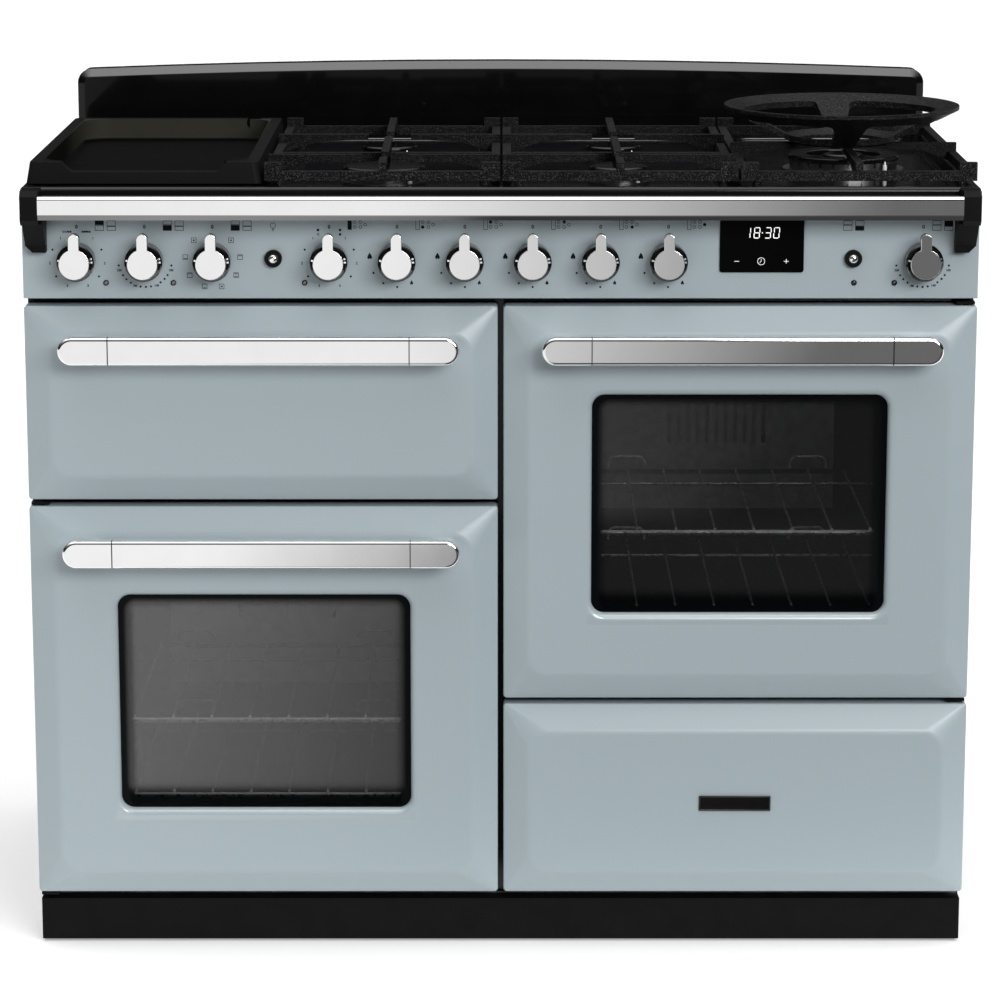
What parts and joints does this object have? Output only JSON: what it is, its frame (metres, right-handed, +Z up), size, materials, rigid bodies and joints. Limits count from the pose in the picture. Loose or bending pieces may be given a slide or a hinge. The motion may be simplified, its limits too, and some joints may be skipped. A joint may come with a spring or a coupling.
{
  "type": "dual fuel range cooker",
  "caption": "Freestanding range cooker with side-hinged ovens, drop-down grill, storage drawer, gas hob with griddle and wok ring, turning knobs and a front rail.",
  "frame": {"origin": "centre of the footprint on the floor", "axes": "+X to the right as seen from the front, +Y to the back, +Z up"},
  "size_m": [1.092, 0.648, 0.995],
  "materials": {
    "paint": "satin",
    "chrome": "polished",
    "black_enamel": "gloss",
    "black_paint": "satin",
    "cast_iron": "matt",
    "burner_alloy": "satin",
    "glass": "gloss",
    "clock_glass": "gloss",
    "ceramic": "gloss",
    "galvanised": "satin",
    "wire": "polished",
    "pan_enamel": "gloss",
    "element": "matt",
    "brass": "satin",
    "switch": "matt",
    "seal": "matt",
    "roller": "matt"
  },
  "bodies": {
    "cooker": {"base_tray": "galvanised", "levelling_feet": "galvanised", "side_panels": "black_paint", "back_panel": "galvanised", "front_frame": "black_enamel", "plinth": "black_paint", "grill_liner": "black_enamel", "door_seals": "seal", "door_hinges": "black_paint", "left_oven_liner": "black_enamel", "right_oven_liner": "black_enamel", "drawer_rails": "galvanised", "oven_shelves": "wire", "fan_assemblies": "galvanised", "heating_elements": "element", "grill_pan": "pan_enamel", "control_panel": "paint", "clock_display": "clock_glass", "oven_switches": "switch", "gas_manifold": "brass", "handrail_bar": "chrome", "handrail_brackets": "black_paint", "hob_tray": "black_enamel", "rear_upstand": "black_enamel", "burner_heads": "burner_alloy", "burner_caps": "cast_iron", "ceramic_zone": "ceramic"},
    "left_door": {"left_door_skin": "paint", "left_door_liner": "black_enamel", "left_door_glass": "glass", "left_door_handle": "chrome"},
    "right_door": {"right_door_skin": "paint", "right_door_liner": "black_enamel", "right_door_glass": "glass", "right_door_handle": "chrome"},
    "grill_door": {"grill_door_skin": "paint", "grill_door_liner": "black_enamel", "grill_door_handle": "chrome"},
    "drawer": {"drawer_front": "paint", "drawer_box": "galvanised"},
    "light_button": {"light_button": "chrome"},
    "drawer_button": {"drawer_button": "chrome"},
    "griddle": {"griddle": "cast_iron"},
    "pan_support_left": {"pan_support_left": "cast_iron"},
    "pan_support_centre": {"pan_support_centre": "cast_iron"},
    "pan_support_right": {"pan_support_right": "cast_iron"},
    "wok_ring": {"wok_ring": "cast_iron"},
    "left_fan": {"left_fan": "galvanised"},
    "right_fan": {"right_fan": "galvanised"},
    "rear_rollers": {"rear_rollers": "roller"},
    "grill_knob": {"grill_knob": "chrome"},
    "left_temperature_knob": {"left_temperature_knob": "chrome"},
    "left_function_knob": {"left_function_knob": "chrome"},
    "hot_zone_knob": {"hot_zone_knob": "chrome"},
    "gas_knob_1": {"gas_knob_1": "chrome"},
    "gas_knob_2": {"gas_knob_2": "chrome"},
    "gas_knob_3": {"gas_knob_3": "chrome"},
    "gas_knob_4": {"gas_knob_4": "chrome"},
    "gas_knob_5": {"gas_knob_5": "chrome"},
    "right_temperature_knob": {"right_temperature_knob": "chrome"}
  },
  "joints": [
    {"name": "left_door_swing", "type": "hinge", "parent": "cooker", "child": "left_door", "pos_m": [-0.533, -0.258, 0.3], "axis": [0, 0, 1], "range_deg": [-105, 0]},
    {"name": "right_door_swing", "type": "hinge", "parent": "cooker", "child": "right_door", "pos_m": [0.533, -0.258, 0.5], "axis": [0, 0, 1], "range_deg": [0, 105]},
    {"name": "grill_door_drop", "type": "hinge", "parent": "cooker", "child": "grill_door", "pos_m": [-0.275, -0.264, 0.556], "axis": [1, 0, 0], "range_deg": [0, 90]},
    {"name": "drawer_slide", "type": "slide", "parent": "cooker", "child": "drawer", "axis": [0, -1, 0], "range_m": [0, 0.4]},
    {"name": "grill_knob_turn", "type": "hinge", "parent": "cooker", "child": "grill_knob", "pos_m": [-0.4835, -0.268, 0.8195], "axis": [0, 1, 0], "range_deg": [-160, 160]},
    {"name": "left_temperature_knob_turn", "type": "hinge", "parent": "cooker", "child": "left_temperature_knob", "pos_m": [-0.4061, -0.268, 0.8195], "axis": [0, 1, 0], "range_deg": [0, 265]},
    {"name": "left_function_knob_turn", "type": "hinge", "parent": "cooker", "child": "left_function_knob", "pos_m": [-0.3287, -0.268, 0.8195], "axis": [0, 1, 0], "range_deg": [0, 315]},
    {"name": "hot_zone_knob_turn", "type": "hinge", "parent": "cooker", "child": "hot_zone_knob", "pos_m": [-0.1956, -0.268, 0.8195], "axis": [0, 1, 0], "range_deg": [-160, 160]},
    {"name": "gas_knob_1_turn", "type": "hinge", "parent": "cooker", "child": "gas_knob_1", "pos_m": [-0.1182, -0.268, 0.8195], "axis": [0, -1, 0], "range_deg": [0, 215]},
    {"name": "gas_knob_2_turn", "type": "hinge", "parent": "cooker", "child": "gas_knob_2", "pos_m": [-0.0408, -0.268, 0.8195], "axis": [0, -1, 0], "range_deg": [0, 215]},
    {"name": "gas_knob_3_turn", "type": "hinge", "parent": "cooker", "child": "gas_knob_3", "pos_m": [0.0366, -0.268, 0.8195], "axis": [0, -1, 0], "range_deg": [0, 215]},
    {"name": "gas_knob_4_turn", "type": "hinge", "parent": "cooker", "child": "gas_knob_4", "pos_m": [0.114, -0.268, 0.8195], "axis": [0, -1, 0], "range_deg": [0, 215]},
    {"name": "gas_knob_5_turn", "type": "hinge", "parent": "cooker", "child": "gas_knob_5", "pos_m": [0.1914, -0.268, 0.8195], "axis": [0, -1, 0], "range_deg": [0, 215]},
    {"name": "right_temperature_knob_turn", "type": "hinge", "parent": "cooker", "child": "right_temperature_knob", "pos_m": [0.482, -0.268, 0.8195], "axis": [0, 1, 0], "range_deg": [0, 265]},
    {"name": "light_button_press", "type": "slide", "parent": "cooker", "child": "light_button", "axis": [0, 1, 0], "range_m": [0, 0.003], "stiffness_N_per_m": 300},
    {"name": "drawer_button_press", "type": "slide", "parent": "cooker", "child": "drawer_button", "axis": [0, 1, 0], "range_m": [0, 0.003], "stiffness_N_per_m": 300},
    {"name": "griddle_lift", "type": "slide", "parent": "cooker", "child": "griddle", "axis": [0, 0, 1], "range_m": [0, 0.15]},
    {"name": "pan_support_left_lift", "type": "slide", "parent": "cooker", "child": "pan_support_left", "axis": [0, 0, 1], "range_m": [0, 0.12]},
    {"name": "pan_support_centre_lift", "type": "slide", "parent": "cooker", "child": "pan_support_centre", "axis": [0, 0, 1], "range_m": [0, 0.03]},
    {"name": "pan_support_right_lift", "type": "slide", "parent": "cooker", "child": "pan_support_right", "axis": [0, 0, 1], "range_m": [0, 0.12]},
    {"name": "wok_ring_lift", "type": "slide", "parent": "pan_support_right", "child": "wok_ring", "axis": [0, 0, 1], "range_m": [0, 0.12]},
    {"name": "left_fan_spin", "type": "hinge", "parent": "cooker", "child": "left_fan", "pos_m": [-0.275, 0.202, 0.325], "axis": [0, 1, 0], "continuous": true},
    {"name": "right_fan_spin", "type": "hinge", "parent": "cooker", "child": "right_fan", "pos_m": [0.275, 0.202, 0.555], "axis": [0, 1, 0], "continuous": true},
    {"name": "rear_rollers_spin", "type": "hinge", "parent": "cooker", "child": "rear_rollers", "pos_m": [0, 0.272, 0.024], "axis": [1, 0, 0], "continuous": true}
  ]
}
